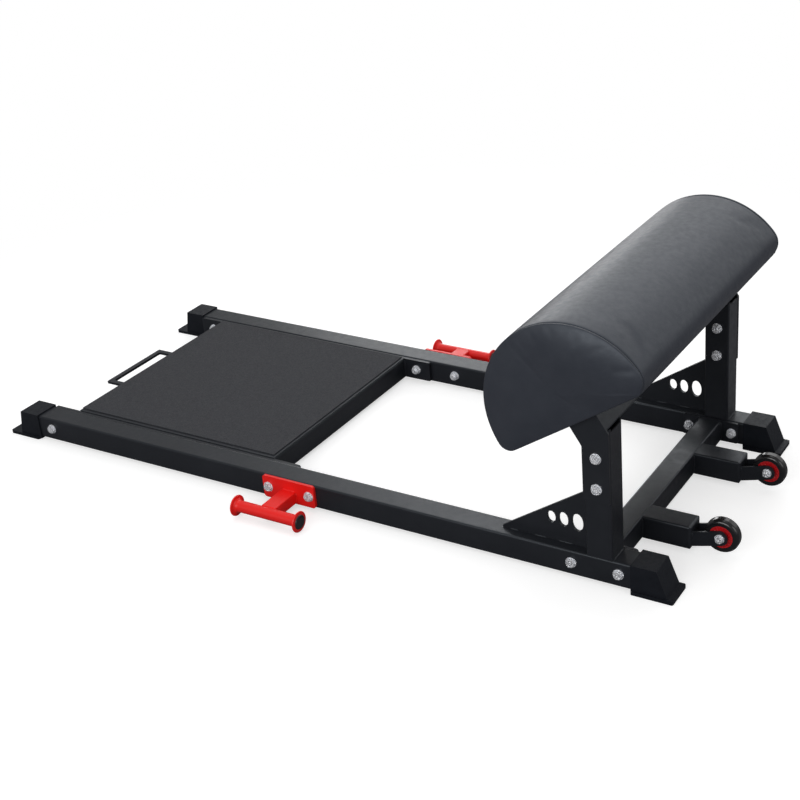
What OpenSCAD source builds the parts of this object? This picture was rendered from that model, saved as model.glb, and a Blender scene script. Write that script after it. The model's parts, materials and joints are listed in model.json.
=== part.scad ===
// Hip thrust bench: two rails with rubber feet, a gritted foot platform between them, band pegs on
// the outside, and a half-round pad tilted back on two uprights. Two small wheels at the back roll it.
// +X points to the pad end, +Z up. The origin is on the floor, at the middle of the bench.
// The right side (-Y) is drawn and the left side is its mirror image.

/* [Rails] */
// Side of the square tube of the rails
tube = 53; // [50:1:56]
// Side of the square tube of the crossbars
bar = 50; // [46:1:50]
// Wall of the square tube
tube_wall = 2.5; // [2:0.5:3]
// Outer corner radius of the square tube
tube_r = 4; // [3:0.5:5]
// Length of one rail
rail_l = 1560; // [1480:10:1700]
// Clear width between the rails
rail_gap = 536; // [520:1:600]
// Height of the rails above the floor
rail_clear = 7; // [6:1:12]

/* [Feet] */
// Wall of the foot caps around the rail
cap_wall = 3; // [2:0.5:4]
// Length of rail inside a front foot
front_sleeve = 46; // [40:1:50]
// Length of rail inside a rear foot
rear_sleeve = 36; // [30:1:40]
// Reach of the front foot's flange in front of the rail
toe_l = 47.5; // [40:0.5:60]
// Thickness of the front foot's flange
toe_h = 7; // [5:0.5:8]
// Reach of the rear foot's flange behind the rail
heel_l = 50; // [40:1:54]
// Thickness of the rear foot's flange
heel_h = 8; // [6:0.5:9]

/* [Platform] */
// Length of the platform along the rails
plat_l = 550; // [520:1:580]
// Distance from the rail's front end to the platform's front bolts
plat_in = 83; // [78:1:100]
// Thickness of the flat bars at its sides
side_t = 8; // [6:1:10]
// Distance from the platform's middle to each pair of its bolts
plat_bolt = 308; // [300:1:312]
// Thickness of the deck plate
deck_t = 2; // [1.5:0.5:3]
// Thickness of the non-slip mat
mat_t = 2.5; // [1.5:0.5:4]
// Bare strip of deck behind the mat
mat_rear = 13; // [8:1:20]
// Bare strip of deck on each side of the mat
mat_side = 9; // [4:1:14]
// Breadth of the handle's flat bar
handle_b = 12; // [10:1:14]
// Thickness of the handle's flat bar
handle_t = 6; // [5:1:8]
// Width over the handle's legs
handle_w = 188; // [160:1:220]
// Reach of the handle in front of the platform
handle_l = 74; // [60:1:90]
// Height of the middle of the handle's bar above the floor
handle_z = 38.5; // [34:0.5:46]

/* [Band pegs] */
// Distance from the peg's middle to each of its bolts
peg_bolt = 51; // [48:1:54]
// Length of the mounting plate
peg_plate_l = 130; // [130:1:140]
// Height of the mounting plate
peg_plate_h = 51.5; // [48:0.5:54]
// Thickness of the mounting plate
peg_plate_t = 6; // [4:1:8]
// Width of the arm
arm_w = 36; // [30:1:40]
// Height of the arm
arm_h = 27; // [24:1:30]
// Distance of the peg's axis below the bolts
peg_drop = 11; // [8:0.5:12]
// Distance from the rail to the axis of the peg
peg_reach = 80; // [70:1:95]
// Diameter of the peg's tube
peg_d = 25; // [22:1:28]
// Diameter of the flared ends
flare_d = 45; // [42:1:52]
// Length of the peg over its flared ends
peg_l = 160; // [150:1:180]

/* [Uprights] */
// Distance from the rail's end to the axis of the rear crossbar
bar_in = 110; // [106:1:120]
// Distance from that axis to each bolt of its end plates
bar_bolt = 49; // [46:1:52]
// Length of the crossbar's end plates
bar_plate_l = 128; // [120:1:134]
// Thickness of the crossbar's end plates
bar_plate_t = 6; // [5:1:8]
// Size of the uprights along the bench
post_l = 54; // [52:1:56]
// Distance of the uprights behind the crossbar's axis
post_back = 10.5; // [8:0.5:13]
// Length of the gusset along the rail
gusset_l = 190; // [170:1:200]
// Height of the gusset against the upright
gusset_h = 130; // [120:1:140]
// Thickness of the gusset
gusset_t = 6; // [5:1:8]

/* [Pad] */
// Tilt of the pad's flat side
tilt = 33; // [30:1:36]
// Length of the pad across the bench
pad_l = 693; // [670:1:710]
// Radius of the pad's round side
pad_r = 174; // [165:0.5:177]
// Straight rise of the pad's sides below the round
pad_rise = 20.5; // [17:0.5:24]
// Height of the middle of the pad's flat side
pad_z = 350.5; // [346:0.5:354]
// Distance of that middle in front of the crossbar's axis
pad_front = 17.5; // [14:0.5:21]
// Thickness of the plywood board in the pad
board_t = 15; // [12:1:16]
// Size along the pad of the carrier tube under it
carrier_w = 64; // [58:1:66]
// Depth of the carrier tube
carrier_h = 40.5; // [38:0.5:43]
// Thickness of the ear plates that hold the carrier
ear_t = 5; // [4:1:6]

/* [Wheels] */
// Diameter of the transport wheels
wheel_d = 72; // [70:1:76]
// Width of the tyre
tyre_w = 24; // [22:1:26]
// Distance from the middle of the bench to each wheel
wheel_y = 133; // [110:1:180]
// Height of the axle above the floor
axle_z = 46; // [44:0.5:50]
// Distance from the crossbar to the axle
axle_out = 157; // [150:1:165]
// Length of the stub tube behind the crossbar
stub_l = 101; // [90:1:104]
// Thickness of the fork plates
fork_t = 4; // [3:0.5:5]
// Upward slope of the fork plates
fork_rise = 15; // [10:1:18]

/* [Fasteners] */
// Diameter of the frame bolts
bolt_d = 10; // [8:1:12]
// Diameter of the washers
washer_d = 22; // [20:1:24]
// Thickness of the washers
washer_t = 1.5; // [1.5:0.5:2.5]
// Size across the flats of the bolt heads and nuts
hex_af = 17; // [15:1:18]
// Clearance of a bolt in its hole, on the radius
hole_clear = 0.25; // [0.1:0.05:0.5]
// Running clearance of a wheel on its axle, on the radius
run_clear = 0.04; // [0.02:0.01:0.08]

/* [Hidden] */
$fn = 64;

// Rails
rail_y = (rail_gap + tube) / 2;
rail_z = rail_clear + tube / 2;
rail_top = rail_clear + tube;
bar_z = rail_top - bar / 2;
rail_in = rail_gap / 2;
rail_out = rail_gap / 2 + tube;
bench_l = toe_l + rail_l - bar_in + bar / 2 + axle_out + wheel_d / 2;
rail_x0 = toe_l - bench_l / 2;
rail_x1 = rail_x0 + rail_l;
cap_w = tube + 2 * cap_wall;
flange_w = cap_w + 6;

// Stations along the bench
bar_x = rail_x1 - bar_in;
plat_x = rail_x0 + plat_in + plat_bolt;
peg_x = plat_x + plat_bolt + peg_bolt;
plat_x0 = plat_x - plat_l / 2;
plat_x1 = plat_x + plat_l / 2;
side_in = rail_in - side_t;
side_gap = 0.5;
side_l = 2 * (plat_x - rail_x0 - front_sleeve - side_gap);
deck_z = rail_top - deck_t;
side_top = rail_top - 1.5;

// Uprights and pad
post_x = bar_x + post_back;
post_x0 = post_x - post_l / 2;
post_x1 = post_x + post_l / 2;
pad_x = bar_x - pad_front;
corner_r = pad_rise;
carrier_s = 3.5;
ear_gap = 0.5;
ear_z0 = 185;
ear_bolt_x = post_x + 1;
ear_bolt_z = [212.5, 276.5];
pad_bolt_y = [-240, -80, 80, 240];
pad_bolt_r = 4;

// Wheels
wheel_r = wheel_d / 2;
axle_x = bar_x + bar / 2 + axle_out;
stub_x1 = bar_x + bar / 2 + stub_l;
axle_r = 4;
axle_flange_r = 9.5;
axle_hex = 14;
hub_half = 11;
hub_rim_r = 24;
bearing_r = 11;
bearing_w = 7;
fork_in = 14;
fork_h = 31;
side_play = 0.3;

// Fasteners, each [x, z, thickness outside the tube, thickness inside the tube]
head_h = 5;
nut_h = 8;
tail_l = 3;
bolts = [
  [plat_x - plat_bolt, bar_z, 0, side_t],
  [peg_x - peg_bolt, bar_z, peg_plate_t, side_t],
  [peg_x + peg_bolt, bar_z, peg_plate_t, 0],
  [bar_x - bar_bolt, bar_z, 0, bar_plate_t],
  [bar_x + bar_bolt, bar_z, 0, bar_plate_t],
  [ear_bolt_x, ear_bolt_z[0], ear_t, 0],
  [ear_bolt_x, ear_bolt_z[1], ear_t, 0]
];

// Point at s along the pad's flat side and h above it, in the plane of the bench's side
function pad_pt(s, h) = [pad_x + s * cos(tilt) - h * sin(tilt), pad_z + s * sin(tilt) + h * cos(tilt)];

// Shapes
module left(on) {
  mirror([0, on ? 1 : 0, 0]) children();
}

module rounded(w, h, r) {
  square([w - 2 * r, h], center = true);
  square([w, h - 2 * r], center = true);
  for (x = [-1, 1], y = [-1, 1])
    translate([x * (w / 2 - r), y * (h / 2 - r)]) circle(r);
}

module box_section(w, h) {
  difference() {
    rounded(w, h, tube_r);
    rounded(w - 2 * tube_wall, h - 2 * tube_wall, tube_r - tube_wall);
  }
}

module along_x(l) {
  rotate([90, 0, 90]) linear_extrude(l) children();
}

module along_y(l) {
  rotate([90, 0, 0]) linear_extrude(l, center = true) children();
}

module cross_hole(x, z, r) {
  translate([x, 0, z]) rotate([90, 0, 0]) cylinder(h = 3 * rail_out, r = r, center = true);
}

module hex_prism(af, h) {
  intersection() {
    cylinder(h = h, d = af / cos(30), $fn = 6);
    cylinder(h = h, r1 = af / 2 + h, r2 = af / 2);
  }
}

// A plate of thickness t against the plane y = -y0, on its outer side
module side_plate(x, z, y0, t) {
  translate([x, -y0, z]) rotate([90, 0, 0]) linear_extrude(t) children();
}

module in_pad_frame() {
  translate([pad_x, 0, pad_z]) rotate([0, -tilt, 0]) children();
}

// Rails and feet
module rail() {
  color("#2b2d30") difference() {
    translate([rail_x0, -rail_y, rail_z]) along_x(rail_l) box_section(tube, tube);
    for (b = bolts) if (b[1] == bar_z) cross_hole(b[0], b[1], bolt_d / 2 + hole_clear);
  }
}

module foot_socket(x, l) {
  translate([x, -rail_y, rail_z]) along_x(l) rounded(tube, tube, tube_r);
}

module front_foot() {
  color("#1c1d1f") difference() {
    union() {
      translate([rail_x0, -rail_y, 0]) along_y(cap_w)
        polygon([[-16, toe_h / 2], [-5.5, rail_top + cap_wall], [front_sleeve, rail_top + cap_wall],
                 [front_sleeve, toe_h / 2]]);
      translate([rail_x0 - toe_l, -rail_y, 0])
        linear_extrude(toe_h) translate([(toe_l + front_sleeve - 7) / 2, 0])
          rounded(toe_l + front_sleeve - 7, flange_w, 6);
    }
    foot_socket(rail_x0, front_sleeve + 1);
  }
}

module rear_foot() {
  color("#1c1d1f") difference() {
    union() {
      translate([rail_x1, -rail_y, 0]) along_y(cap_w)
        polygon([[-rear_sleeve, heel_h / 2], [-rear_sleeve, rail_top + cap_wall],
                 [16, rail_top + cap_wall], [heel_l - 12, heel_h], [heel_l - 12, heel_h / 2]]);
      translate([rail_x1 - rear_sleeve, -rail_y, 0])
        linear_extrude(heel_h) translate([(heel_l + rear_sleeve) / 2, 0])
          rounded(heel_l + rear_sleeve, flange_w, 4);
    }
    foot_socket(rail_x1 - rear_sleeve - 1, rear_sleeve + 1);
  }
}

// Platform
module platform_side() {
  color("#2b2d30") difference() {
    side_plate(plat_x, (bar_z - bar / 2 + side_top) / 2, side_in, side_t)
      rounded(side_l, side_top - bar_z + bar / 2, 3);
    for (x = [-plat_bolt, plat_bolt]) cross_hole(plat_x + x, bar_z, bolt_d / 2 + hole_clear);
  }
}

module platform_tube(x) {
  color("#26282b") translate([x, 0, deck_z - bar / 2]) along_y(2 * side_in) box_section(bar, bar);
}

module platform_stringers() {
  size = 30;
  color("#26282b") for (y = [-1, 1])
    translate([plat_x0 + bar, y * side_in / 2, deck_z - size / 2])
      along_x(plat_l - 2 * bar) box_section(size, size);
}

module platform_deck() {
  color("#303236") translate([plat_x0, -side_in, deck_z]) cube([plat_l, 2 * side_in, deck_t]);
}

module platform_mat() {
  color("#434547") translate([plat_x - mat_rear / 2, 0, rail_top]) linear_extrude(mat_t)
    rounded(plat_l - mat_rear, 2 * (side_in - mat_side), 2);
}

module platform_handle() {
  color("#26282b") translate([plat_x0, 0, handle_z - handle_t / 2]) linear_extrude(handle_t)
    intersection() {
      difference() {
        rounded(2 * handle_l, handle_w, 2);
        rounded(2 * (handle_l - handle_b), handle_w - 2 * handle_b, 4);
      }
      translate([-handle_l, -handle_w / 2]) square([handle_l, handle_w]);
    }
}

// Band pegs
peg_z = bar_z - peg_drop;
peg_y = rail_out + peg_reach;
flare_l = 12;
lip_t = 4;
bore_r = peg_d / 2 - 2.5;
plug_l = 12;
plug_rim = 3;
plug_edge = 2;
plug_dome = 1;

module peg_plate() {
  color("#d6202c") difference() {
    side_plate(peg_x, rail_top - peg_plate_h / 2, rail_out, peg_plate_t)
      rounded(peg_plate_l, peg_plate_h, 6);
    for (x = [-peg_bolt, peg_bolt]) cross_hole(peg_x + x, bar_z, bolt_d / 2 + hole_clear);
  }
}

// The arm's end is coped to sit against the round tube
module peg_arm() {
  y0 = rail_out + peg_plate_t;
  y1 = peg_y - peg_d / 4;
  color("#d6202c") difference() {
    translate([peg_x, -(y0 + y1) / 2, peg_z]) along_y(y1 - y0) rounded(arm_w, arm_h, 3);
    translate([peg_x, -peg_y, peg_z]) rotate([0, 90, 0]) cylinder(h = 2 * arm_w, d = peg_d, center = true);
  }
}

// A trumpet that ends in a disc with a round rim
module flare() {
  steps = 6;
  rim = lip_t / 2;
  curve = [for (i = [0:steps]) let (a = 90 * i / steps)
    [peg_d / 2 + (flare_d / 2 - rim - peg_d / 2) * (1 - cos(a)), (flare_l - lip_t) * sin(a)]];
  edge = [for (a = [-60:30:90]) [flare_d / 2 - rim + rim * cos(a), flare_l - rim + rim * sin(a)]];
  rotate_extrude() polygon(concat([[bore_r, 0]], curve, edge, [[bore_r, flare_l]]));
}

module band_peg() {
  color("#d6202c") difference() {
    translate([peg_x, -peg_y, peg_z]) {
      rotate([0, 90, 0]) cylinder(h = peg_l - 2 * lip_t, d = peg_d, center = true);
      for (side = [0, 1]) mirror([side, 0, 0])
        translate([peg_l / 2 - flare_l, 0, 0]) rotate([0, 90, 0]) flare();
    }
    translate([peg_x, -peg_y, peg_z]) rotate([0, 90, 0])
      cylinder(h = peg_l + 2, r = bore_r, center = true);
  }
}

module peg_plugs() {
  color("#191a1c") for (side = [0, 1]) translate([peg_x, -peg_y, peg_z]) mirror([side, 0, 0])
    translate([peg_l / 2, 0, 0]) rotate([0, 90, 0]) {
      head_r = peg_d / 2 + plug_rim;
      translate([0, 0, -plug_l]) cylinder(h = plug_l, r = bore_r);
      cylinder(h = plug_edge, r1 = head_r, r2 = head_r - plug_dome);
      translate([0, 0, plug_edge]) cylinder(h = plug_dome, r1 = head_r - plug_dome, r2 = bore_r);
    }
}

// Rear crossbar, stub tubes and wheel forks
module rear_crossbar() {
  color("#2b2d30") translate([bar_x, 0, bar_z])
    along_y(2 * (rail_in - bar_plate_t)) box_section(bar, bar);
}

module crossbar_plate() {
  color("#2b2d30") difference() {
    side_plate(bar_x, bar_z, rail_in - bar_plate_t, bar_plate_t) rounded(bar_plate_l, bar - 2, 5);
    for (x = [-bar_bolt, bar_bolt]) cross_hole(bar_x + x, bar_z, bolt_d / 2 + hole_clear);
  }
}

// The tube's far end is closed by a cap with round edges
module stub_tube() {
  cap_t = 7;
  cap_r = 6;
  color("#2b2d30") translate([bar_x + bar / 2, -wheel_y, bar_z]) difference() {
    intersection() {
      along_x(stub_l) rounded(bar, bar, tube_r);
      along_y(2 * bar) rounded(2 * stub_l, bar, cap_r);
      linear_extrude(2 * bar, center = true) rounded(2 * stub_l, bar, cap_r);
    }
    translate([-1, 0, 0]) along_x(stub_l - cap_t + 1)
      rounded(bar - 2 * tube_wall, bar - 2 * tube_wall, tube_r - tube_wall);
  }
}

// One fork plate, drawn in the plane of the wheel with the axle at the origin
module fork_outline() {
  reach = axle_x - stub_x1;
  intersection() {
    rotate(fork_rise) union() {
      circle(d = fork_h);
      translate([-2 * reach, -fork_h / 2]) square([2 * reach, fork_h]);
    }
    translate([-reach, -2 * fork_h]) square([reach + fork_h, 4 * fork_h]);
  }
}

module wheel_fork() {
  color("#26282b") for (side = [-1, 1]) difference() {
    translate([axle_x, -wheel_y + side * (fork_in + fork_t / 2), axle_z])
      rotate([90, 0, 0]) linear_extrude(fork_t, center = true) fork_outline();
    cross_hole(axle_x, axle_z, axle_r + hole_clear);
  }
}

// Wheels, drawn on the axle
module on_axle() {
  translate([axle_x, -wheel_y, axle_z]) rotate([90, 0, 0]) children();
}

module tyre() {
  half = tyre_w / 2;
  edge_r = 8;
  color("#121214") on_axle() rotate_extrude() difference() {
    union() {
      translate([hub_rim_r, -half]) square([wheel_r - edge_r - hub_rim_r, 2 * half]);
      translate([hub_rim_r, -half + edge_r]) square([wheel_r - hub_rim_r, 2 * (half - edge_r)]);
      for (z = [-1, 1]) translate([wheel_r - edge_r, z * (half - edge_r)]) circle(edge_r);
    }
    translate([0, -tyre_w]) square([hub_rim_r, 2 * tyre_w]);
    translate([hub_rim_r - 1, -4]) square([4, 8]);
  }
}

module wheel_hub() {
  boss_r = bearing_r + 2;
  rim_in = hub_rim_r - 2.5;
  web = hub_half - 2;
  color("#c8202a") on_axle() rotate_extrude() {
    translate([bearing_r, -hub_half]) square([boss_r - bearing_r, 2 * hub_half]);
    translate([9, -hub_half + bearing_w]) square([bearing_r - 9 + 1, 2 * (hub_half - bearing_w)]);
    translate([boss_r - 1, -web]) square([rim_in - boss_r + 2, 2 * web]);
    translate([rim_in, -hub_half]) square([hub_rim_r - rim_in, 2 * hub_half]);
    translate([rim_in, -4]) square([hub_rim_r + 3 - rim_in, 8]);
  }
}

module bearings() {
  color("silver") on_axle() for (z = [-hub_half, hub_half - bearing_w])
    translate([0, 0, z]) difference() {
      cylinder(h = bearing_w, r = bearing_r);
      translate([0, 0, -1]) cylinder(h = bearing_w + 2, r = axle_r + run_clear);
    }
}

// Tubes on the axle between the bearings, and between each bearing and its fork plate
module axle_spacers() {
  inner = hub_half - bearing_w - side_play;
  outer = fork_in - hub_half - side_play;
  color("silver") on_axle() difference() {
    union() {
      cylinder(h = 2 * inner, r = 6, center = true);
      translate([0, 0, fork_in - outer]) cylinder(h = outer, r = 6);
      translate([0, 0, -fork_in]) cylinder(h = outer, r = 6);
    }
    cylinder(h = 4 * fork_in, r = axle_r, center = true);
  }
}

module axle_bolt() {
  face = fork_in + fork_t;
  color("silver") on_axle() {
    translate([0, 0, -face - 10]) cylinder(h = 2 * face + 11, r = axle_r);
    translate([0, 0, face]) cylinder(h = 1.5, r = axle_flange_r);
    translate([0, 0, face + 1.5]) hex_prism(axle_hex, 5.5);
  }
}

module axle_nut() {
  face = fork_in + fork_t;
  color("silver") on_axle() mirror([0, 0, 1]) translate([0, 0, face]) difference() {
    union() {
      cylinder(h = 1.5, r = axle_flange_r);
      translate([0, 0, 1.5]) hex_prism(axle_hex, 6);
    }
    translate([0, 0, -1]) cylinder(h = 10, r = axle_r);
  }
}

// Uprights and gussets
module upright() {
  notch_w = 42;
  notch_z = pad_z + (post_x1 - pad_x) * tan(tilt) - carrier_h / cos(tilt) - 7;
  color("#2b2d30") difference() {
    translate([post_x, -rail_y, rail_top]) linear_extrude(pad_z - rail_top) box_section(post_l, tube);
    in_pad_frame() translate([-pad_r, -rail_out - tube, -carrier_h]) cube([2 * pad_r, 3 * tube, pad_z]);
    translate([post_x1 - tube_wall - 1, -rail_y - notch_w / 2, notch_z])
      cube([tube_wall + 2, notch_w, pad_z]);
    for (z = ear_bolt_z) cross_hole(ear_bolt_x, z, bolt_d / 2 + hole_clear);
  }
}

// An upright ellipse, w wide and h high
module oval(w, h) {
  polygon([for (a = [0:7.5:352.5]) [w / 2 * cos(a), h / 2 * sin(a)]]);
}

module gusset() {
  // Each hole as [distance in front of the upright, width, height]
  holes = [[28, 24, 38], [57.5, 20, 31], [83, 18, 25]];
  hole_z = 50;
  color("#2b2d30") side_plate(post_x0, rail_top, rail_y - gusset_t / 2, gusset_t) difference() {
    polygon([[-gusset_l, 0], [0, 0], [0, gusset_h], [-gusset_l, 4]]);
    for (h = holes) translate([-h[0], hole_z]) oval(h[1], h[2]);
  }
}

// Pad carrier
module ear_plate() {
  back = pad_pt(carrier_s + carrier_w / 2, -carrier_h);
  front = pad_pt(carrier_s - carrier_w / 2, -carrier_h);
  color("#2b2d30") difference() {
    translate([0, -rail_out, 0]) rotate([90, 0, 0]) linear_extrude(ear_t)
      polygon([pad_pt(carrier_s - carrier_w / 2, -ear_gap), front, [post_x0, front[1] - 5],
               [post_x0, ear_z0], [post_x1, ear_z0], [post_x1, back[1] - 5], back,
               pad_pt(carrier_s + carrier_w / 2, -ear_gap)]);
    for (z = ear_bolt_z) cross_hole(ear_bolt_x, z, bolt_d / 2 + hole_clear);
  }
}

module pad_carrier() {
  color("#3a3d41") in_pad_frame() difference() {
    translate([carrier_s, 0, -carrier_h / 2]) along_y(2 * rail_out) box_section(carrier_w, carrier_h);
    for (y = pad_bolt_y) translate([carrier_s, y, -carrier_h / 2])
      cylinder(h = 2 * carrier_h, r = pad_bolt_r + hole_clear, center = true);
  }
}

// Pad: a board let into the flat side of a half-round cushion
board_w = 296;
board_l = 2 * rail_out;

module board_shape(extra) {
  translate([-board_w / 2, -board_l / 2, -extra]) cube([board_w, board_l, board_t + extra]);
}

module pad_board() {
  color("#b98f5e") in_pad_frame() difference() {
    board_shape(0);
    for (y = pad_bolt_y) translate([carrier_s, y, -1])
      cylinder(h = board_t - 2, r = pad_bolt_r + hole_clear);
  }
}

module pad_cushion() {
  color("#3c3d42") in_pad_frame() difference() {
    along_y(pad_l) {
      intersection() {
        translate([0, pad_rise]) circle(pad_r);
        translate([-pad_r, pad_rise]) square([2 * pad_r, pad_r]);
      }
      translate([-pad_r + corner_r, 0]) square([2 * (pad_r - corner_r), pad_rise + 1]);
      for (x = [-1, 1]) translate([x * (pad_r - corner_r), corner_r]) circle(corner_r);
    }
    board_shape(1);
  }
}

module pad_bolts() {
  color("silver") in_pad_frame() for (y = pad_bolt_y) translate([carrier_s, y, -carrier_h]) {
    cylinder(h = carrier_h + board_t - 4, r = pad_bolt_r);
    mirror([0, 0, 1]) cylinder(h = 1.5, r = 8.5);
    mirror([0, 0, 1]) translate([0, 0, 1.5]) cylinder(h = 3, r1 = 6.5, r2 = 4);
  }
}

// Bolts, nuts and washers of the frame
module frame_bolts() {
  color("silver") for (b = bolts) {
    head_y = rail_out + b[2] + washer_t;
    end_y = rail_in - b[3] - washer_t - nut_h - tail_l;
    translate([b[0], -head_y, b[1]]) rotate([90, 0, 0]) hex_prism(hex_af, head_h);
    translate([b[0], -end_y, b[1]]) rotate([90, 0, 0]) cylinder(h = head_y - end_y, d = bolt_d);
  }
}

module frame_nuts() {
  color("silver") for (b = bolts) translate([b[0], -(rail_in - b[3] - washer_t), b[1]])
    rotate([-90, 0, 0]) difference() {
      hex_prism(hex_af, nut_h);
      translate([0, 0, -1]) cylinder(h = nut_h + 2, d = bolt_d);
    }
}

module frame_washers() {
  color("silver") for (b = bolts, y = [rail_out + b[2], rail_in - b[3] - washer_t])
    translate([b[0], -y, b[1]]) rotate([90, 0, 0]) difference() {
      cylinder(h = washer_t, d = washer_d);
      translate([0, 0, -1]) cylinder(h = washer_t + 2, r = bolt_d / 2 + hole_clear);
    }
}

rail();  // rail_right
left(true) rail();  // rail_left
front_foot();  // front_foot_right
left(true) front_foot();  // front_foot_left
rear_foot();  // rear_foot_right
left(true) rear_foot();  // rear_foot_left
platform_side();  // platform_side_right
left(true) platform_side();  // platform_side_left
platform_tube(plat_x0 + bar / 2);  // platform_front_tube
platform_tube(plat_x1 - bar / 2);  // platform_rear_tube
platform_stringers();
platform_deck();
platform_mat();
platform_handle();
peg_plate();  // peg_plate_right
left(true) peg_plate();  // peg_plate_left
peg_arm();  // peg_arm_right
left(true) peg_arm();  // peg_arm_left
band_peg();  // band_peg_right
left(true) band_peg();  // band_peg_left
peg_plugs();  // peg_plugs_right
left(true) peg_plugs();  // peg_plugs_left
rear_crossbar();
crossbar_plate();  // crossbar_plate_right
left(true) crossbar_plate();  // crossbar_plate_left
stub_tube();  // stub_tube_right
left(true) stub_tube();  // stub_tube_left
wheel_fork();  // wheel_fork_right
left(true) wheel_fork();  // wheel_fork_left
tyre();  // tyre_right
left(true) tyre();  // tyre_left
wheel_hub();  // wheel_hub_right
left(true) wheel_hub();  // wheel_hub_left
bearings();  // bearings_right
left(true) bearings();  // bearings_left
axle_bolt();  // axle_bolt_right
left(true) axle_bolt();  // axle_bolt_left
axle_nut();  // axle_nut_right
left(true) axle_nut();  // axle_nut_left
axle_spacers();  // axle_spacers_right
left(true) axle_spacers();  // axle_spacers_left
upright();  // upright_right
left(true) upright();  // upright_left
gusset();  // gusset_right
left(true) gusset();  // gusset_left
ear_plate();  // ear_plate_right
left(true) ear_plate();  // ear_plate_left
pad_carrier();
pad_board();
pad_cushion();
pad_bolts();
frame_bolts();  // frame_bolts_right
left(true) frame_bolts();  // frame_bolts_left
frame_nuts();  // frame_nuts_right
left(true) frame_nuts();  // frame_nuts_left
frame_washers();  // frame_washers_right
left(true) frame_washers();  // frame_washers_left
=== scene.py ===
"""Hip thrust bench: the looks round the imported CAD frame.

Makes the materials, pad cover, mat, weld beads, hub ribs and staples, and the floor, lights and camera.
"""
import json
import math
from collections import namedtuple

import bmesh
import bpy
from mathutils import Matrix, Vector


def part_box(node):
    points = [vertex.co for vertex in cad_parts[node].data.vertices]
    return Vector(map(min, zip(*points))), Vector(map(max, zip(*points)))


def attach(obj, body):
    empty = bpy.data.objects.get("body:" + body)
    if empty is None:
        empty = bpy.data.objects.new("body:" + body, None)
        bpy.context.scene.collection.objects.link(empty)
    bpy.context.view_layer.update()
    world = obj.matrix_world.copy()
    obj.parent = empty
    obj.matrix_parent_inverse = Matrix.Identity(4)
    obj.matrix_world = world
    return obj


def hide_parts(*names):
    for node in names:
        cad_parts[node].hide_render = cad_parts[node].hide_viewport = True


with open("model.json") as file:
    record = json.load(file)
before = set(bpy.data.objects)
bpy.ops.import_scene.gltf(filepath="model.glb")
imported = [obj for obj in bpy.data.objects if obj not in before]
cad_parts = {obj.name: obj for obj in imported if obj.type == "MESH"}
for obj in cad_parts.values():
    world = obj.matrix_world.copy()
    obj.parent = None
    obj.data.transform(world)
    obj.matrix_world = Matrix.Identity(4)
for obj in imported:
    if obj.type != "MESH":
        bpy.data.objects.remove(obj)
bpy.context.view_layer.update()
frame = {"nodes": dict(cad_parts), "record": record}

scene = bpy.context.scene
MM = 0.001
SIDES = (("right", -1), ("left", 1))

Box = namedtuple("Box", "x0 y0 z0 x1 y1 z1")


def box(node):
    """A CAD node's box, in metres."""
    low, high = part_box(node)
    return Box(*low, *high)


def middle(node):
    """The middle of a CAD node's box."""
    low, high = (Vector(v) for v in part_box(node))
    return (low + high) / 2


def new_object(name, mesh, slot):
    """Turns a bmesh into a named object of one material."""
    data = bpy.data.meshes.new(name)
    mesh.to_mesh(data)
    mesh.free()
    obj = bpy.data.objects.new(name, data)
    scene.collection.objects.link(obj)
    data.materials.append(MATS[slot])
    return obj


def piece(name, mesh, slot, body="frame"):
    """A new object that rides on a body."""
    obj = new_object(name, mesh, slot)
    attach(obj, body)
    return obj


# ---------------------------------------------------------------- shader helpers

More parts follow.
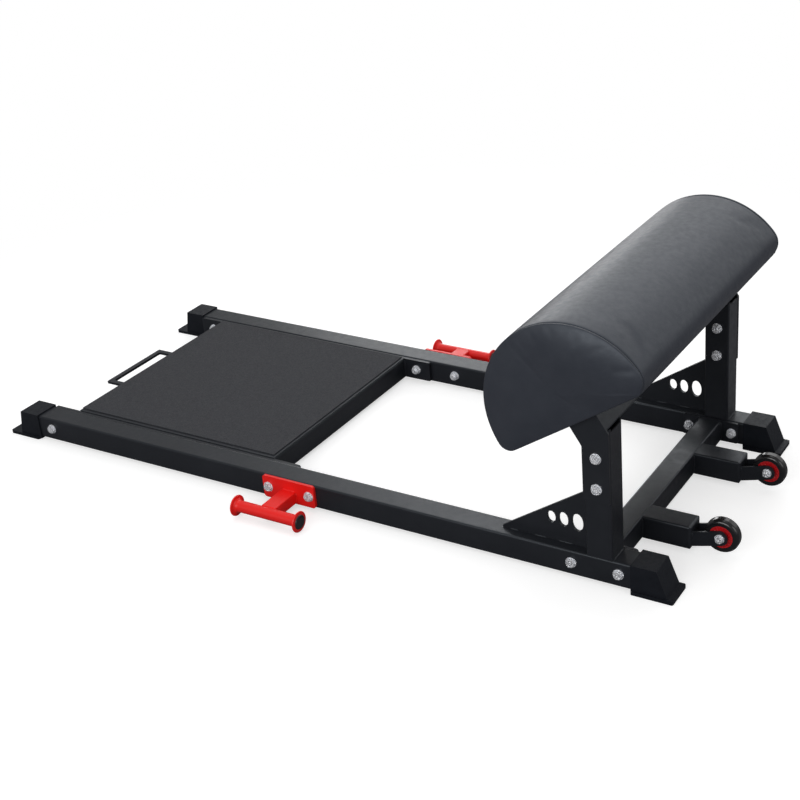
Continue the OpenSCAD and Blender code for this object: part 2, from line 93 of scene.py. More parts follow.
class Shader:
    """A new material with a Principled shader, and short calls for the procedural nodes behind it."""

    def __init__(self, name, color, rough, metallic=0.0, specular=0.5, tint=(1.0, 1.0, 1.0)):
        self.mat = bpy.data.materials.new(name)
        self.mat.use_nodes = True
        self.tree = self.mat.node_tree
        self.bsdf = self.tree.nodes["Principled BSDF"]
        self.put("Base Color", (*color, 1.0))
        self.put("Roughness", rough)
        self.put("Metallic", metallic)
        self.put("Specular IOR Level", specular)
        self.put("Specular Tint", (*tint, 1.0))
        self.where = self.tree.nodes.new("ShaderNodeTexCoord").outputs["Object"]
        self.height = None

    def put(self, socket, value):
        self.bsdf.inputs[socket].default_value = value

    def link(self, a, b):
        self.tree.links.new(a, b)

    def node(self, kind, **values):
        made = self.tree.nodes.new(kind)
        for key, value in values.items():
            setattr(made, key, value)
        return made

    def stretched(self, scale):
        made = self.node("ShaderNodeMapping")
        made.inputs["Scale"].default_value = scale
        self.link(self.where, made.inputs["Vector"])
        return made.outputs["Vector"]

    def noise(self, scale, detail=3.0, rough=0.55, along=None):
        made = self.node("ShaderNodeTexNoise")
        made.inputs["Scale"].default_value = scale
        made.inputs["Detail"].default_value = detail
        made.inputs["Roughness"].default_value = rough
        self.link(along or self.where, made.inputs["Vector"])
        return made.outputs["Fac"]

    def cells(self, scale):
        made = self.node("ShaderNodeTexVoronoi", feature="F1")
        made.inputs["Scale"].default_value = scale
        self.link(self.where, made.inputs["Vector"])
        return made.outputs["Distance"]

    def ramp(self, fac, low, high, a, b):
        made = self.node("ShaderNodeMapRange")
        made.inputs["From Min"].default_value = low
        made.inputs["From Max"].default_value = high
        made.inputs["To Min"].default_value = a
        made.inputs["To Max"].default_value = b
        self.link(fac, made.inputs["Value"])
        return made.outputs["Result"]

    def base(self, fac, *stops):
        """Base colour from a factor, by stops of (place, colour)."""
        made = self.node("ShaderNodeValToRGB")
        ramp = made.color_ramp
        while len(ramp.elements) < len(stops):
            ramp.elements.new(0.5)
        for element, (at, colour) in zip(ramp.elements, stops):
            element.position = at
            element.color = (*colour, 1.0)
        self.link(fac, made.inputs["Fac"])
        self.link(made.outputs["Color"], self.bsdf.inputs["Base Color"])

    def rough(self, fac, low, high):
        """Roughness that drifts between two values with a noise factor."""
        self.link(self.ramp(fac, 0.3, 0.7, low, high), self.bsdf.inputs["Roughness"])

    def bump(self, height, strength, distance):
        """Adds a bump on top of those before it."""
        made = self.node("ShaderNodeBump")
        made.inputs["Strength"].default_value = strength
        made.inputs["Distance"].default_value = distance
        self.link(height, made.inputs["Height"])
        if self.height is not None:
            self.link(self.height, made.inputs["Normal"])
        self.height = made.outputs["Normal"]
        self.link(self.height, self.bsdf.inputs["Normal"])


# ---------------------------------------------------------------- materials

# tint of the cool reflections on black paint, rubber and vinyl
COOL = (0.84, 0.92, 1.0)


def powder_coat(name, dark, light, low, high, tint=(1.0, 1.0, 1.0)):
    """Satin powder coat: fine orange peel, with a slow drift in colour and gloss."""
    s = Shader(name, dark, (low + high) / 2, specular=0.45, tint=tint)
    s.base(s.noise(9.0, 2.0), (0.3, dark), (0.7, light))
    s.rough(s.noise(70.0, 3.0), low, high)
    s.bump(s.noise(900.0, 2.0), 0.25, 0.0004)
    return s.mat


def moulded_rubber(name, dark, light):
    """Matte moulded rubber with a fine cast texture."""
    s = Shader(name, dark, 0.55, specular=0.22, tint=COOL)
    s.base(s.noise(30.0, 3.0), (0.35, dark), (0.7, light))
    s.rough(s.noise(120.0), 0.42, 0.6)
    s.bump(s.cells(700.0), 0.2, 0.0003)
    return s.mat


def mat_rubber():
    """Matte sheet with a fine pebbled grit."""
    s = Shader("grit_mat", (0.045, 0.046, 0.05), 0.85, specular=0.3)
    fine = s.cells(650.0)
    s.base(s.noise(420.0, 4.0), (0.3, (0.0255, 0.0265, 0.0305)), (0.72, (0.049, 0.0505, 0.0570)))
    s.rough(s.noise(200.0), 0.78, 0.95)
    s.bump(s.noise(700.0, 4.0, 0.7), 0.5, 0.0008)
    s.bump(fine, 0.35, 0.0006)
    return s.mat


def plain_plastic(name, colour, low, high):
    """Moulded plastic or hard rubber, with a faint unevenness."""
    s = Shader(name, colour, (low + high) / 2)
    lighter = tuple(min(1.0, c * 1.15 + 0.001) for c in colour)
    s.base(s.noise(60.0, 2.0), (0.35, colour), (0.7, lighter))
    s.rough(s.noise(150.0), low, high)
    s.bump(s.noise(1200.0, 2.0), 0.12, 0.0002)
    return s.mat


def plated(name, colour, low, high, marks=0.2, metallic=1.0, relief=0.0012):
    """Zinc-plated or ground steel, with turning marks and a mottled passivated tint."""
    s = Shader(name, colour, (low + high) / 2, metallic=metallic)
    tint = tuple(c * f for c, f in zip(colour, (0.86, 0.88, 0.93)))
    s.base(s.noise(260.0, 3.0), (0.35, tint), (0.65, colour))
    s.rough(s.noise(500.0, 3.0), low, high)
    s.bump(s.noise(420.0, 2.0), marks, relief)
    s.bump(s.noise(1500.0, 2.0), 0.15, 0.0002)
    return s.mat


def plywood():
    """Raw plywood with its grain along the board."""
    s = Shader("plywood", (0.5, 0.34, 0.19), 0.7, specular=0.3)
    grain = s.noise(14.0, 6.0, 0.6, along=s.stretched((9.0, 1.0, 9.0)))
    s.base(grain, (0.3, (0.36, 0.22, 0.11)), (0.5, (0.52, 0.36, 0.2)), (0.7, (0.62, 0.46, 0.28)))
    s.bump(grain, 0.2, 0.0008)
    return s.mat


def vinyl():
    """Smooth upholstery vinyl with a shallow pebble grain and slow unevenness from the foam below."""
    s = Shader("vinyl", (0.026, 0.029, 0.038), 0.42, specular=0.56, tint=COOL)
    s.base(s.noise(22.0, 3.0), (0.3, (0.023, 0.026, 0.0355)), (0.7, (0.029, 0.032, 0.042)))
    s.rough(s.noise(90.0), 0.42, 0.52)
    s.bump(s.noise(5.0, 2.0), 0.06, 0.004)
    s.bump(s.cells(850.0), 0.12, 0.0004)
    return s.mat


MATS = {
    "black_paint": powder_coat("powder_black", (0.0098, 0.0106, 0.0135), (0.0128, 0.0138, 0.0172),
                               0.30, 0.42, COOL),
    "deck_plate": powder_coat("powder_deck", (0.012, 0.0128, 0.016), (0.016, 0.017, 0.021),
                              0.38, 0.5, COOL),
    "red_paint": powder_coat("powder_red", (0.80, 0.008, 0.006), (0.87, 0.012, 0.009), 0.30, 0.40),
    "foot_rubber": moulded_rubber("moulded_rubber", (0.0065, 0.0074, 0.0105), (0.0092, 0.0102, 0.0140)),
    "grip_mat": mat_rubber(),
    "plug_plastic": plain_plastic("plug_plastic", (0.010, 0.010, 0.012), 0.35, 0.5),
    "tyre": plain_plastic("gloss_tyre", (0.008, 0.008, 0.009), 0.12, 0.2),
    "red_plastic": plain_plastic("gloss_red", (0.50, 0.010, 0.014), 0.22, 0.32),
    "zinc": plated("bright_zinc", (0.97, 0.975, 0.99), 0.14, 0.26, marks=1.0, metallic=0.7, relief=0.0035),
    "bearing_steel": plated("ground_steel", (0.45, 0.45, 0.46), 0.25, 0.4),
    "plywood": plywood(),
    "vinyl": vinyl(),
}

SLOTS = {part["node"]: part["material_slot"] for part in frame["record"]["subparts"]}
for node, obj in frame["nodes"].items():
    obj.data.materials.clear()
    obj.data.materials.append(MATS[SLOTS[node]])


def soften(prefixes, width, segments=2):
    """Breaks the sharp edges of CAD nodes with a bevel modifier."""
    for node, obj in frame["nodes"].items():
        if node.startswith(prefixes):
            bevel = obj.modifiers.new("soft_edges", "BEVEL")
            bevel.width = width
            bevel.segments = segments
            bevel.limit_method = "ANGLE"
            bevel.angle_limit = math.radians(40.0)


soften(("front_foot", "rear_foot"), 0.0025, 3)
soften(("gusset", "ear_plate", "crossbar_plate", "peg_plate", "wheel_fork", "platform_side"), 0.0007)
soften(("upright", "platform_handle", "platform_deck", "peg_arm"), 0.0006)
soften(("frame_bolts", "frame_nuts", "axle_bolt", "axle_nut"), 0.0004)


# ---------------------------------------------------------------- camera

# turned this many degrees about the bench, up from the floor, and about its own line of sight
CAMERA_TURN = (29.26, 26.50, -3.01)
# place, in metres from the middle of the rear crossbar
CAMERA_FROM_BAR = (1.01905, -2.358, 1.5608)
# mm of lens, and the photograph's off-centre crop in parts of the frame's width
CAMERA_LENS = 65.84
CAMERA_SHIFT = (-0.1586, -0.041)


def place_camera():
    azimuth, elevation, roll = (math.radians(v) for v in CAMERA_TURN)
    back = Vector((math.sin(azimuth) * math.cos(elevation), -math.cos(azimuth) * math.cos(elevation),
                   math.sin(elevation)))
    right = Vector((math.cos(azimuth), math.sin(azimuth), 0.0))
    up = back.cross(right)
    right, up = right * math.cos(roll) + up * math.sin(roll), up * math.cos(roll) - right * math.sin(roll)
    data = bpy.data.cameras.new("camera")
    data.sensor_width = 36.0
    data.lens = CAMERA_LENS
    data.shift_x, data.shift_y = CAMERA_SHIFT
    data.clip_end = 60.0
    camera = bpy.data.objects.new("camera", data)
    turn = Matrix((right, up, back)).transposed()
    at = middle("rear_crossbar") + Vector(CAMERA_FROM_BAR)
    camera.matrix_world = Matrix.Translation(at) @ turn.to_4x4()
    scene.collection.objects.link(camera)
    scene.camera = camera


place_camera()


# ---------------------------------------------------------------- floor, lights and world

FLOOR_SIZE, FLOOR_Z = 40.0, -0.0005
# what the camera sees near the bench: a pale grey, and a glow on top of it
FLOOR_PALE = (0.60, 0.60, 0.60)
FLOOR_GLOW = 0.60
# distances from the middle, in metres, over which that turns plain white
FLOOR_FADE = (0.7, 1.9)
# what all other rays meet
FLOOR_GREY = (0.22, 0.22, 0.23)


def floor():
    """Pale floor that keeps the shadows near the bench and turns plain white further out.

    Only the camera sees it so: other rays meet a darker grey floor. From below it is clear.
    """
    bpy.ops.mesh.primitive_plane_add(size=FLOOR_SIZE, location=(0.0, 0.0, FLOOR_Z))
    plane = bpy.context.object
    plane.name = "floor"
    made = bpy.data.materials.new("pale_floor")
    made.use_nodes = True
    nodes, links = made.node_tree.nodes, made.node_tree.links
    nodes.clear()

    def mixed(fac, a, b):
        mix = nodes.new("ShaderNodeMixShader")
        links.new(fac, mix.inputs["Fac"])
        links.new(a.outputs[0], mix.inputs[1])
        links.new(b.outputs[0], mix.inputs[2])
        return mix

    def diffuse(colour):
        shader = nodes.new("ShaderNodeBsdfDiffuse")
        shader.inputs["Color"].default_value = (*colour, 1.0)
        return shader

    def glow(strength):
        shader = nodes.new("ShaderNodeEmission")
        shader.inputs["Strength"].default_value = strength
        return shader

    near = nodes.new("ShaderNodeAddShader")
    links.new(diffuse(FLOOR_PALE).outputs[0], near.inputs[0])
    links.new(glow(FLOOR_GLOW).outputs[0], near.inputs[1])
    where = nodes.new("ShaderNodeTexCoord")
    reach = nodes.new("ShaderNodeVectorMath")
    reach.operation = "LENGTH"
    links.new(where.outputs["Object"], reach.inputs[0])
    far = nodes.new("ShaderNodeMapRange")
    far.interpolation_type = "SMOOTHSTEP"
    far.inputs["From Min"].default_value, far.inputs["From Max"].default_value = FLOOR_FADE
    links.new(reach.outputs["Value"], far.inputs["Value"])
    pale = mixed(far.outputs["Result"], near, glow(1.0))
    path = nodes.new("ShaderNodeLightPath")
    seen = mixed(path.outputs["Is Camera Ray"], diffuse(FLOOR_GREY), pale)
    sides = nodes.new("ShaderNodeNewGeometry")
    surface = mixed(sides.outputs["Backfacing"], seen, nodes.new("ShaderNodeBsdfTransparent"))
    out = nodes.new("ShaderNodeOutputMaterial")
    links.new(surface.outputs[0], out.inputs["Surface"])
    plane.data.materials.append(made)


floor()


def area_light(name, at, towards, size, power):
    """A soft rectangular light, which the camera doesn't see."""
    data = bpy.data.lights.new(name, "AREA")
    data.shape = "RECTANGLE"
    data.size, data.size_y = size
    data.energy = power
    light = bpy.data.objects.new(name, data)
    light.visible_camera = False
    aim = Vector(towards) - Vector(at)
    light.matrix_world = Matrix.Translation(at) @ aim.to_track_quat("-Z", "Y").to_matrix().to_4x4()
    scene.collection.objects.link(light)


# name, place, aim, size and power of each soft light
LIGHTS = [
    ("top", (-0.3, 0.3, 3.4), (0.0, 0.0, 0.1), (3.0, 3.0), 30.0),
    ("back_high", (-0.45, 3.5, 2.5), (0.2, 0.0, 0.3), (3.8, 1.7), 40.0),
    ("back_low", (-2.1, 3.5, 0.85), (0.5, 0.0, 0.4), (1.3, 0.9), 17.5),
    ("back_right", (2.4, 3.5, 1.8), (0.6, 0.0, 0.4), (2.2, 1.8), 10.5),
    ("right", (3.6, -0.6, 1.6), (0.6, 0.0, 0.2), (1.8, 1.8), 20.0),
    ("front", (0.2, -3.8, 1.8), (0.1, 0.0, 0.1), (3.0, 1.6), 64.0),
]
for light in LIGHTS:
    area_light(*light)

# strength of the grey room
ROOM = 0.4


def studio_world():
    """White to the camera. Other rays meet an even grey room."""
    world = bpy.data.worlds.new("studio")
    world.use_nodes = True
    tree = world.node_tree
    nodes, links = tree.nodes, tree.links
    background = nodes["Background"]
    background.inputs["Color"].default_value = (1.0, 1.0, 1.0, 1.0)
    path = nodes.new("ShaderNodeLightPath")
    plain = nodes.new("ShaderNodeMath")
    plain.operation = "MAXIMUM"
    links.new(path.outputs["Is Camera Ray"], plain.inputs[0])
    links.new(path.outputs["Is Transmission Ray"], plain.inputs[1])
    strength = nodes.new("ShaderNodeMapRange")
    strength.inputs["To Min"].default_value = ROOM
    strength.inputs["To Max"].default_value = 1.0
    links.new(plain.outputs[0], strength.inputs["Value"])
    links.new(strength.outputs["Result"], background.inputs["Strength"])
    scene.world = world


studio_world()
scene.view_settings.view_transform = "Standard"


# ---------------------------------------------------------------- upholstered pad
# Lengths are in mm, in the pad's own frame: s along the flat side, y across the bench, h off the flat side.

# middle of the flat side, in metres from the middle of the rear crossbar, and its tilt
PAD_AT = middle("rear_crossbar") + Vector((-0.0175, 0.0, 0.3155))
TILT = math.radians(33.0)
ALONG = Vector((math.cos(TILT), 0.0, math.sin(TILT)))
UPWARD = Vector((-math.sin(TILT), 0.0, math.cos(TILT)))
# radius of the round, height of its centre, and half the pad's length
PAD_R, PAD_RISE, PAD_HALF = 174.0, 20.5, 346.5
# radii of the two lower corners, and the angle at which the rear one meets the board's edge
FRONT_R, REAR_R, REAR_END = 23.0, 35.0, -1.22
ROUND_STEPS, FRONT_STEPS, REAR_STEPS = 64, 7, 5
# points of the base beyond the bare field: at the board's edge, and halfway over the lip
BOARD_EDGE, LIP_MIDDLE = 149.0, 142.0
# half sizes of the bare field inside the lip, and the steps across and along it
LIP_S, LIP_Y = 128.0, 300.0
BASE_STEPS, LONG_STEPS = 26, 60
# how far the vinyl hangs below the flat side, the height over which that ends, and the bare field's depth
LIP_DROP, LIP_BAND, FIELD_UP = 0.6, 6.0, 2.5
# the cover's edge as (distance from the end, inward offset): a rolled edge, then the sewn groove
EDGE = [(0.0, 2.4), (0.8, 0.8), (2.2, 0.0), (4.6, 0.1), (5.9, 1.0), (6.6, 3.4), (7.4, 3.4), (8.1, 1.0),
        (9.4, 0.1), (13.0, 0.0), (24.0, 0.0)]
# the cover is held where it is flat and within this distance of its ends
FIRM_END, FLAT = 7.0, 0.01
# rings of an end panel as parts of its outline, about a middle at this height
PANEL_RINGS = (0.982, 0.955, 0.92, 0.87, 0.81, 0.74, 0.66, 0.57, 0.47, 0.36, 0.24, 0.12)
PANEL_H = 72.0
# how far an end panel bulges all over, and how much fuller it is towards one angle
END_PUFF, FULL_PUFF, FULL_AT = 5.0, 9.0, math.radians(25.0)


def pad_place(s, y, h):
    """A point given in the pad's own frame, in mm."""
    return PAD_AT + ALONG * (s * MM) + UPWARD * (h * MM) + Vector((0.0, y * MM, 0.0))


def pad_profile():
    """Closed D outline as (s, h, outward s, outward h), from the front corner over the round and back."""
    def corner(r, side):
        at = (side * math.sqrt((PAD_R - r) ** 2 - (PAD_RISE - r) ** 2), r)
        return at, math.atan2(r - PAD_RISE, at[0])

    (front, a_front), (rear, a_rear) = corner(FRONT_R, -1), corner(REAR_R, 1)
    outline = []

    def arc(centre, r, a, b, steps, last=False):
        for i in range(steps + (1 if last else 0)):
            t = a + (b - a) * i / steps
            outline.append((centre[0] + r * math.cos(t), centre[1] + r * math.sin(t),
                            math.cos(t), math.sin(t)))

    arc(front, FRONT_R, 1.5 * math.pi, a_front, FRONT_STEPS)
    arc((0.0, PAD_RISE), PAD_R, a_front, a_rear, ROUND_STEPS)
    arc(rear, REAR_R, a_rear, REAR_END, REAR_STEPS, last=True)
    stops = [BOARD_EDGE, LIP_MIDDLE, LIP_S]
    stops += [LIP_S - 2 * LIP_S * i / BASE_STEPS for i in range(1, BASE_STEPS + 1)]
    outline += [(s, 0.0, 0.0, -1.0) for s in stops]
    return outline


def strip(mesh, a, b, flip=False):
    """Faces between two closed rings of points."""
    for i in range(len(a)):
        j = (i + 1) % len(a)
        quad = (a[i], a[j], b[j], b[i])
        mesh.faces.new(tuple(reversed(quad)) if flip else quad)


def end_panel(mesh, outline, outer, y):
    """Closes one end with a domed panel, fuller towards the rear."""
    off = EDGE[0][1]
    for f in PANEL_RINGS:
        inner = []
        for s, h, ds, dh in outline:
            s0, h0 = s - ds * off, h - dh * off
            towards = max(0.0, math.cos(math.atan2(h0 - PANEL_H, s0) - FULL_AT)) ** 2
            puff = END_PUFF * (1.0 - f ** 3) ** 0.6 + FULL_PUFF * towards * (1.0 - f ** 8) * f
            inner.append(mesh.verts.new(pad_place(s0 * f, y + math.copysign(puff, y),
                                                  PANEL_H + (h0 - PANEL_H) * f)))
        for i in range(len(outer)):
            j = (i + 1) % len(outer)
            quad = (outer[j], outer[i], inner[i], inner[j])
            mesh.faces.new(tuple(reversed(quad)) if y > 0.0 else quad)
        outer = inner
    hub = mesh.verts.new(pad_place(0.0, y + math.copysign(END_PUFF, y), PANEL_H))
    for i in range(len(outer)):
        tri = (outer[(i + 1) % len(outer)], outer[i], hub)
        mesh.faces.new(tuple(reversed(tri)) if y > 0.0 else tri)


def make_pad():
    """The cover before it is blown up, and the points that stay firm."""
    outline = pad_profile()
    ends = [(-PAD_HALF + d, off) for d, off in EDGE]
    along = [(-LIP_Y + 2 * LIP_Y * i / LONG_STEPS, 0.0) for i in range(LONG_STEPS + 1)]
    mesh = bmesh.new()
    rings, firm = [], set()
    for y, off in ends + along + [(-y, off) for y, off in reversed(ends)]:
        ring = []
        for s, h, ds, dh in outline:
            drop = LIP_DROP * max(0.0, 1.0 - h / LIP_BAND)
            v = mesh.verts.new(pad_place(s - ds * off, y, h - dh * off - drop))
            ring.append(v)
            if h < FLAT or abs(y) > PAD_HALF - FIRM_END:
                firm.add(v)
        rings.append(ring)
    for a, b in zip(rings, rings[1:]):
        strip(mesh, a, b)
    end_panel(mesh, outline, rings[0], -PAD_HALF)
    end_panel(mesh, outline, rings[-1], PAD_HALF)
    bmesh.ops.recalc_face_normals(mesh, faces=mesh.faces)
    mesh.verts.index_update()
    firm_at = [v.index for v in firm]
    return new_object("pad_cover", mesh, "vinyl"), firm_at


def swell(obj, firm, most, frames=20, pressure=4.0):
    """Blows the cover up with a cloth simulation, holding the firm points, and moves no point beyond most."""
    start = [v.co.copy() for v in obj.data.vertices]
    group = obj.vertex_groups.new(name="firm")
    group.add(list(firm), 1.0, "REPLACE")
    cloth = obj.modifiers.new("cloth", "CLOTH")
    cfg = cloth.settings
    cfg.quality = 8
    cfg.mass = 0.3
    cfg.tension_stiffness = cfg.compression_stiffness = 12.0
    cfg.shear_stiffness = 6.0
    cfg.bending_stiffness = 0.6
    cfg.use_pressure = True
    cfg.uniform_pressure_force = pressure
    cfg.effector_weights.gravity = 0.0
    cfg.vertex_group_mass = "firm"
    cloth.collision_settings.use_self_collision = False
    for frame_no in range(1, frames + 1):
        scene.frame_set(frame_no)
    moved = obj.evaluated_get(bpy.context.evaluated_depsgraph_get()).to_mesh()
    shifts = [b.co - a for a, b in zip(start, moved.vertices)]
    obj.modifiers.remove(cloth)
    scene.frame_set(1)
    for vert, a, shift in zip(obj.data.vertices, start, shifts):
        limit = most(a)
        vert.co = a + (shift * (limit / shift.length) if shift.length > limit else shift)


# most that the simulation may move an end panel and the round, in metres
END_LIMIT, ROUND_LIMIT = 0.003, 0.0011
# a point this close to the end is on its panel, and the round's limit grows from one distance over the next
ON_PANEL, GROWS_FROM, GROWS_OVER = 0.0005, 0.006, 0.03


def pad_limit(a):
    inset = PAD_HALF * MM - abs((a - PAD_AT).y)
    if inset < ON_PANEL:
        return END_LIMIT
    return ROUND_LIMIT * min(1.0, max(0.0, inset - GROWS_FROM) / GROWS_OVER)


def raise_field(obj):
    """Leaves the vinyl as a lip round the base: the field inside it goes up into the board."""
    mesh = bmesh.new()
    mesh.from_mesh(obj.data)
    field = []
    for face in mesh.faces:
        mid = face.calc_center_median() - PAD_AT
        if (mid.dot(UPWARD) < 0.0 and face.normal.dot(UPWARD) < -0.9
                and abs(mid.dot(ALONG)) < LIP_S * MM and abs(mid.y) < LIP_Y * MM):
            field.append(face)
    out = bmesh.ops.extrude_face_region(mesh, geom=field)
    bmesh.ops.delete(mesh, geom=field, context="FACES")
    raised = [made for made in out["geom"] if isinstance(made, bmesh.types.BMVert)]
    bmesh.ops.translate(mesh, vec=UPWARD * (FIELD_UP * MM), verts=raised)
    mesh.to_mesh(obj.data)
    mesh.free()


def finish_smooth(obj):
    """Smooth shading and one level of subdivision."""
    for face in obj.data.polygons:
        face.use_smooth = True
    sub = obj.modifiers.new("subdivision", "SUBSURF")
    sub.levels = sub.render_levels = 1
    bpy.context.view_layer.objects.active = obj
    bpy.ops.object.modifier_apply(modifier=sub.name)


pad, firm = make_pad()
swell(pad, firm, pad_limit)
raise_field(pad)
finish_smooth(pad)
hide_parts("pad_cushion")
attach(pad, "frame")


# ---------------------------------------------------------------- weld beads

# distance between a bead's scallops, and the number of its sides
SCALLOP, BEAD_SIDES = 0.0028, 8
FRAME_BEAD, HANDLE_BEAD, PEG_BEAD = 0.0021, 0.0015, 0.002


def bead(mesh, start, end, radius):
    """A straight weld bead with scallops along it and tapered ends."""
    start, end = Vector(start), Vector(end)
    along = (end - start).normalized()
    across = along.orthogonal().normalized()
    up = along.cross(across)
    length = (end - start).length
    steps = max(4, int(length / (SCALLOP / 4)))
    ring_before = None
    for i in range(steps + 1):
        at = length * i / steps
        taper = min(1.0, 0.35 + min(at, length - at) / (2.0 * radius))
        size = radius * taper * (0.84 + 0.16 * abs(math.sin(math.pi * at / SCALLOP)))
        turns = (math.radians(360.0 / BEAD_SIDES * k) for k in range(BEAD_SIDES))
        ring = [mesh.verts.new(start + along * at + (across * math.cos(t) + up * math.sin(t)) * size)
                for t in turns]
        if ring_before:
            for k in range(BEAD_SIDES):
                j = (k + 1) % BEAD_SIDES
                mesh.faces.new((ring_before[k], ring_before[j], ring[j], ring[k]))
        else:
            mesh.faces.new(list(reversed(ring)))
        ring_before = ring
    mesh.faces.new(ring_before)


def beads(name, lines, slot, radius):
    mesh = bmesh.new()
    for start, end in lines:
        bead(mesh, start, end, radius)
    for face in mesh.faces:
        face.smooth = True
    piece(name, mesh, slot)


# how far welds stop short of a tube's rounded edges
SHORT, BAR_SHORT = 0.005, 0.004
# stitches along a gusset's foot, as parts of its length, and up its back, as heights over the rail
FOOT_STITCHES = ((0.08, 0.18), (0.36, 0.5), (0.63, 0.79))
BACK_STITCHES = ((0.014, 0.044), (0.076, 0.108))
# a fork's weld stops short of its stub at the foot and at the rounded top
FORK_LOW, FORK_HIGH = 0.008, 0.014
# the platform tubes' welds to the side bars run from this height to just below the deck
DECK_WELD_Z, DECK_SHORT = 0.013, 0.003


def frame_welds():
    """Beads round the uprights' feet, gussets, crossbar, wheel stubs, forks and platform tubes."""
    lines = []
    bar, deck = box("rear_crossbar"), box("platform_deck")
    for side, sign in SIDES:
        rail, post, gusset = (box(f"{name}_{side}") for name in ("rail", "upright", "gusset"))
        top = rail.z1
        for x in (post.x0, post.x1):
            lines.append(((x, post.y0 + SHORT, top), (x, post.y1 - SHORT, top)))
        long = gusset.x1 - gusset.x0
        for y in (gusset.y0, gusset.y1):
            for a, b in FOOT_STITCHES:
                lines.append(((gusset.x0 + long * a, y, top), (gusset.x0 + long * b, y, top)))
            for a, b in BACK_STITCHES:
                lines.append(((post.x0, y, top + a), (post.x0, y, top + b)))
        plate, stub, fork = (box(f"{name}_{side}") for name in ("crossbar_plate", "stub_tube", "wheel_fork"))
        y = bar.y0 if sign < 0 else bar.y1
        for z in (plate.z1, plate.z0):
            lines.append(((bar.x0 + BAR_SHORT, y, z), (bar.x1 - BAR_SHORT, y, z)))
        for x in (bar.x0, bar.x1):
            lines.append(((x, y, bar.z0 + SHORT), (x, y, bar.z1 - SHORT)))
        for y in (stub.y0, stub.y1):
            lines.append(((stub.x0, y, stub.z0 + SHORT), (stub.x0, y, stub.z1 - SHORT)))
        for y in (fork.y0, fork.y1):
            lines.append(((stub.x1, y, stub.z0 + FORK_LOW), (stub.x1, y, stub.z1 - FORK_HIGH)))
        side_bar = box(f"platform_side_{side}")
        y = side_bar.y1 if sign < 0 else side_bar.y0
        for x in (deck.x0, deck.x1):
            lines.append(((x, y, DECK_WELD_Z), (x, y, deck.z0 - DECK_SHORT)))
    beads("weld_beads", lines, "black_paint", FRAME_BEAD)


# breadth of the handle's bar, whose two legs are welded to the platform
HANDLE_B = 0.012


def handle_welds():
    handle = box("platform_handle")
    lines = []
    for y0, y1 in ((handle.y0, handle.y0 + HANDLE_B), (handle.y1 - HANDLE_B, handle.y1)):
        for z in (handle.z0, handle.z1):
            lines.append(((handle.x1, y0, z), (handle.x1, y1, z)))
    beads("handle_welds", lines, "black_paint", HANDLE_BEAD)


# how far the peg's welds stop short of the arm's edges, and their height off the tube's axis
ARM_SHORT, TUBE_SHORT, TUBE_OFF = 0.003, 0.001, 0.0115


def peg_welds():
    """Beads round each arm at its plate, and along it at the peg's tube."""
    lines = []
    for side, sign in SIDES:
        arm, tube = box(f"peg_arm_{side}"), box(f"band_peg_{side}")
        y = arm.y1 if sign < 0 else arm.y0
        for x in (arm.x0, arm.x1):
            lines.append(((x, y, arm.z0 + ARM_SHORT), (x, y, arm.z1 - ARM_SHORT)))
        for z in (arm.z0, arm.z1):
            lines.append(((arm.x0 + ARM_SHORT, y, z), (arm.x1 - ARM_SHORT, y, z)))
        y = arm.y0 if sign < 0 else arm.y1
        axis = (tube.z0 + tube.z1) / 2
        for z in (axis - TUBE_OFF, axis + TUBE_OFF):
            lines.append(((arm.x0 + TUBE_SHORT, y, z), (arm.x1 - TUBE_SHORT, y, z)))
    beads("peg_welds", lines, "red_paint", PEG_BEAD)


frame_welds()
handle_welds()
peg_welds()


# ---------------------------------------------------------------- ribs on the wheel hubs

RIBS = 18
# radii, in mm, between which the ribs run
RIB_IN, RIB_OUT = 12.8, 21.8
# a rib's layers in mm: half its width, distance from the wheel's middle plane, and how far its ends step in
RIB_LAYERS = ((0.9, 8.6, 0.0), (0.8, 9.9, 0.0), (0.5, 10.3, 0.4))


def hub_ribs(side):
    """Low moulded ribs that run from the hub's boss to its rim, on both faces of the recessed web."""
    axis = middle(f"wheel_hub_{side}")
    mesh = bmesh.new()
    for face in (-1, 1):
        for k in range(RIBS):
            turn = Matrix.Rotation(math.radians(360.0 / RIBS * k), 4, "Y")
            rings = []
            for half, out, step in RIB_LAYERS:
                near, far = RIB_IN + step, RIB_OUT - step
                ring = [(near, -half), (far, -half), (far, half), (near, half)]
                rings.append([mesh.verts.new(axis + turn @ Vector((x * MM, face * out * MM, z * MM)))
                              for x, z in ring])
            for low, high in zip(rings, rings[1:]):
                strip(mesh, low, high)
            mesh.faces.new(rings[-1])
            mesh.faces.new(list(reversed(rings[0])))
    bmesh.ops.recalc_face_normals(mesh, faces=mesh.faces)
    piece(f"hub_ribs_{side}", mesh, "red_plastic", body=f"wheel_{side}")


for side, _ in SIDES:
    hub_ribs(side)


# ---------------------------------------------------------------- staples under the pad

# length, width and height of a staple's back, in metres, and how far it stands below the vinyl, in mm
STAPLE, STAPLE_OUT = (0.010, 0.0012, 0.0008), 0.2
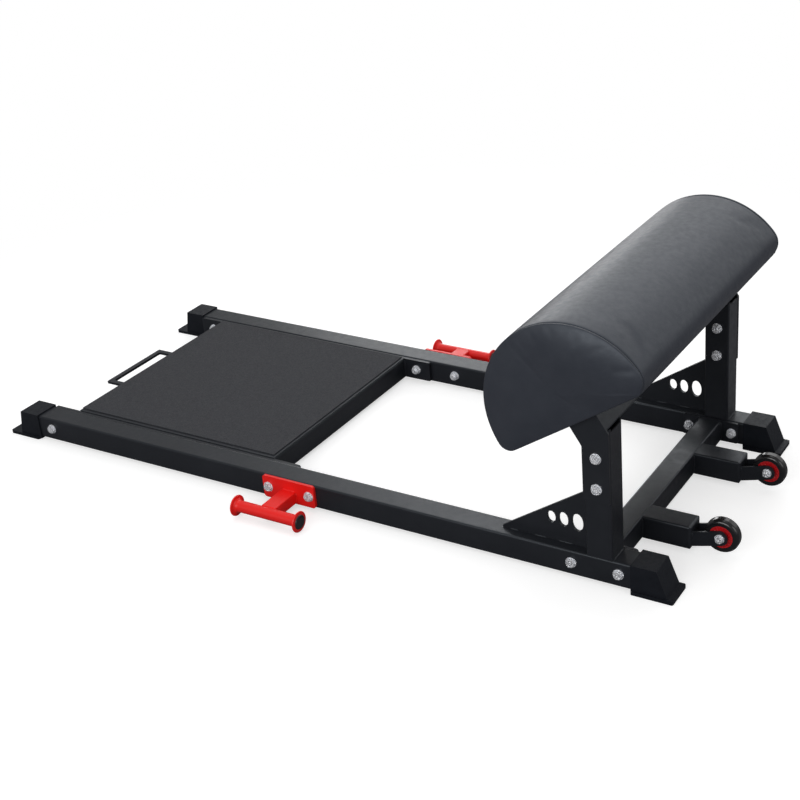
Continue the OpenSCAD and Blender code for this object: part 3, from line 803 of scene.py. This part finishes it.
# along each long edge: their number, pitch, how much they stray, and their distance past the lip's inner edge
LONG_STAPLES, LONG_PITCH, STRAY, LONG_PAST = 21, 29.0, 2.0, 6.0
# the same across the ends, which leave a gap at the carrier
END_STAPLES, END_PITCH, END_PAST = 9, 28.0, 8.0
CARRIER_S, CARRIER_GAP = 3.5, 40.0


def staples():
    """Rows of staples along the lip of the cover."""
    mesh = bmesh.new()
    turn = Matrix((ALONG, Vector((0.0, 1.0, 0.0)), UPWARD)).transposed().to_4x4()
    long, wide, high = STAPLE

    def add(s, y, size):
        at = Matrix.Translation(pad_place(s, y, -LIP_DROP - STAPLE_OUT))
        bmesh.ops.create_cube(mesh, size=1.0, matrix=at @ turn @ Matrix.Diagonal((*size, 1.0)))

    for i in range(LONG_STAPLES):
        y = LONG_PITCH * (i - (LONG_STAPLES - 1) / 2)
        add(LIP_S + LONG_PAST, y + STRAY * math.sin(5.0 * i), (wide, long, high))
        add(-LIP_S - LONG_PAST, y + STRAY * math.cos(3.0 * i), (wide, long, high))
    for i in range(END_STAPLES):
        s = END_PITCH * (i - (END_STAPLES - 1) / 2)
        if abs(s - CARRIER_S) > CARRIER_GAP:
            add(s, LIP_Y + END_PAST, (long, wide, high))
            add(s, -LIP_Y - END_PAST, (long, wide, high))
    piece("staples", mesh, "zinc")


staples()


# ---------------------------------------------------------------- mat

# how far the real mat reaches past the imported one, to the rear and to the left, and its softened edge
MAT_REAR, MAT_LEFT, MAT_EDGE = 0.007, 0.008, 0.0007


def mat_sheet():
    """The mat with the narrower border of bare deck that the photograph shows."""
    low, high = (Vector(v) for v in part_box("platform_mat"))
    high += Vector((MAT_REAR, MAT_LEFT, 0.0))
    mesh = bmesh.new()
    place = Matrix.Translation((low + high) / 2) @ Matrix.Diagonal((*(high - low), 1.0))
    bmesh.ops.create_cube(mesh, size=1.0, matrix=place)
    mat = piece("mat_sheet", mesh, "grip_mat")
    bevel = mat.modifiers.new("soft_edges", "BEVEL")
    bevel.width = MAT_EDGE
    bevel.segments = 2
    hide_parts("platform_mat")


mat_sheet()
